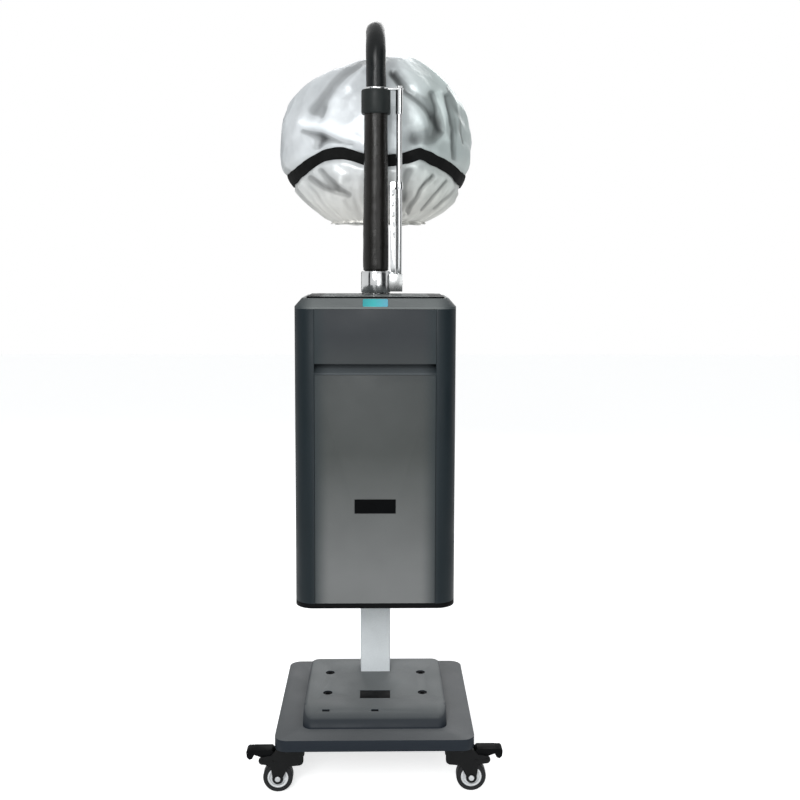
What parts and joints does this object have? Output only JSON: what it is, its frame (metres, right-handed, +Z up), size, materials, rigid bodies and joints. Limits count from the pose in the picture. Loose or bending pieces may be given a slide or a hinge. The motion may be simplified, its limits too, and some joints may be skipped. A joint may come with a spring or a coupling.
{
  "type": "hair steamer",
  "caption": "Free-standing hair steamer: cabinet on a wheeled base, swivelling and lifting mast, insulated arch duct and gathered silver film hood.",
  "frame": {"origin": "on the floor, under the centre of the base", "axes": "+Z up, -Y towards the side with the drawer and the controls, +X to the right seen from that side"},
  "size_m": [0.516, 0.7159, 1.5931],
  "materials": {
    "panel_paint": "satin charcoal-grey paint",
    "shell_paint": "satin dark charcoal paint",
    "base_paint": "satin grey paint",
    "column_paint": "satin silver paint",
    "black_metal": "satin black paint",
    "black_plastic": "matt black",
    "black_foam": "matt black foam insulation",
    "chrome": "polished",
    "steel": "plain zinc-plated",
    "iron": "black-painted casting",
    "wheel_core": "pale grey moulded",
    "tyre": "black tread",
    "glass": "back-painted glass, grey with black ends",
    "cyan_lens": "lit cyan window",
    "tank_plastic": "translucent",
    "white_plastic": "moulded",
    "sheet_steel": "galvanised sheet",
    "aluminium": "plain",
    "board": "green lacquer",
    "red_plastic": "moulded",
    "film": "crinkled silver film",
    "elastic": "black elastic webbing"
  },
  "bodies": {
    "stand": {"base_cover": "base_paint", "base_plate": "black_metal", "counterweight": "iron", "pad_plugs": "black_plastic", "column": "column_paint", "column_bolts": "steel", "caster_plates": "black_metal", "cabinet_tray": "black_plastic", "cabinet_shell": "shell_paint", "front_panel": "panel_paint", "rear_panel": "shell_paint", "chassis": "sheet_steel", "top_cover": "panel_paint", "control_glass": "glass", "indicator_lens": "cyan_lens", "tank_rails": "sheet_steel", "mist_chamber": "white_plastic", "transducers": "steel", "blower": "black_plastic", "heater": "aluminium", "circuit_board": "board", "power_supply": "aluminium", "mist_duct": "white_plastic", "power_inlet": "black_plastic", "drain_nozzle": "steel", "swivel_flange": "chrome"},
    "caster_front_left": {"fork_front_left": "black_metal", "axle_front_left": "steel"},
    "roller_front_left": {"wheel_front_left": "wheel_core", "tyre_front_left": "tyre"},
    "caster_front_right": {"fork_front_right": "black_metal", "axle_front_right": "steel"},
    "roller_front_right": {"wheel_front_right": "wheel_core", "tyre_front_right": "tyre"},
    "caster_rear_left": {"fork_rear_left": "black_metal", "axle_rear_left": "steel"},
    "roller_rear_left": {"wheel_rear_left": "wheel_core", "tyre_rear_left": "tyre"},
    "caster_rear_right": {"fork_rear_right": "black_metal", "axle_rear_right": "steel"},
    "roller_rear_right": {"wheel_rear_right": "wheel_core", "tyre_rear_right": "tyre"},
    "brake_left": {"pedal_left": "black_plastic"},
    "brake_right": {"pedal_right": "black_plastic"},
    "tank_drawer": {"drawer_front": "panel_paint", "water_tank": "tank_plastic"},
    "rocker": {"power_switch": "red_plastic"},
    "mast": {"collar": "chrome", "clamp_block": "chrome", "guide_strip": "chrome", "riser_pipe": "chrome"},
    "lock_knob": {"clamp_knob": "black_plastic"},
    "boom": {"lift_rod": "chrome", "top_bracket": "chrome", "riser_sleeve": "black_foam", "riser_cap": "black_plastic", "arch_duct": "black_foam", "hood_ring": "black_plastic", "hood": "film", "hood_band": "elastic"}
  },
  "joints": [
    {"name": "front_left_swivel", "type": "hinge", "parent": "stand", "child": "caster_front_left", "pos_m": [-0.165, -0.162, 0.086], "axis": [0, 0, 1], "continuous": true},
    {"name": "front_left_roll", "type": "hinge", "parent": "caster_front_left", "child": "roller_front_left", "pos_m": [-0.195, -0.162, 0.03], "axis": [0, 1, 0], "continuous": true},
    {"name": "front_right_swivel", "type": "hinge", "parent": "stand", "child": "caster_front_right", "pos_m": [0.165, -0.162, 0.086], "axis": [0, 0, 1], "continuous": true},
    {"name": "front_right_roll", "type": "hinge", "parent": "caster_front_right", "child": "roller_front_right", "pos_m": [0.195, -0.162, 0.03], "axis": [0, 1, 0], "continuous": true},
    {"name": "rear_left_swivel", "type": "hinge", "parent": "stand", "child": "caster_rear_left", "pos_m": [-0.165, 0.162, 0.086], "axis": [0, 0, 1], "continuous": true},
    {"name": "rear_left_roll", "type": "hinge", "parent": "caster_rear_left", "child": "roller_rear_left", "pos_m": [-0.165, 0.192, 0.03], "axis": [1, 0, 0], "continuous": true},
    {"name": "rear_right_swivel", "type": "hinge", "parent": "stand", "child": "caster_rear_right", "pos_m": [0.165, 0.162, 0.086], "axis": [0, 0, 1], "continuous": true},
    {"name": "rear_right_roll", "type": "hinge", "parent": "caster_rear_right", "child": "roller_rear_right", "pos_m": [0.165, 0.192, 0.03], "axis": [1, 0, 0], "continuous": true},
    {"name": "left_brake", "type": "hinge", "parent": "caster_front_left", "child": "brake_left", "pos_m": [-0.205, -0.162, 0.06593], "axis": [0, -1, 0], "range_deg": [0, 8]},
    {"name": "right_brake", "type": "hinge", "parent": "caster_front_right", "child": "brake_right", "pos_m": [0.205, -0.162, 0.06593], "axis": [0, 1, 0], "range_deg": [0, 8]},
    {"name": "tank_slide", "type": "slide", "parent": "stand", "child": "tank_drawer", "axis": [0, -1, 0], "range_m": [0, 0.1]},
    {"name": "rocker_tip", "type": "hinge", "parent": "stand", "child": "rocker", "pos_m": [-0.052, 0.135, 0.416], "axis": [1, 0, 0], "range_deg": [0, 14]},
    {"name": "mast_swing", "type": "hinge", "parent": "stand", "child": "mast", "pos_m": [0, 0.09, 0.99825], "axis": [0, 0, 1], "range_deg": [-90, 90]},
    {"name": "knob_turn", "type": "hinge", "parent": "mast", "child": "lock_knob", "pos_m": [0.0505, 0.102, 1.01925], "axis": [0, 1, 0], "range_deg": [0, 270]},
    {"name": "mast_lift", "type": "slide", "parent": "mast", "child": "boom", "axis": [0, 0, 1], "range_m": [0, 0.12]}
  ]
}
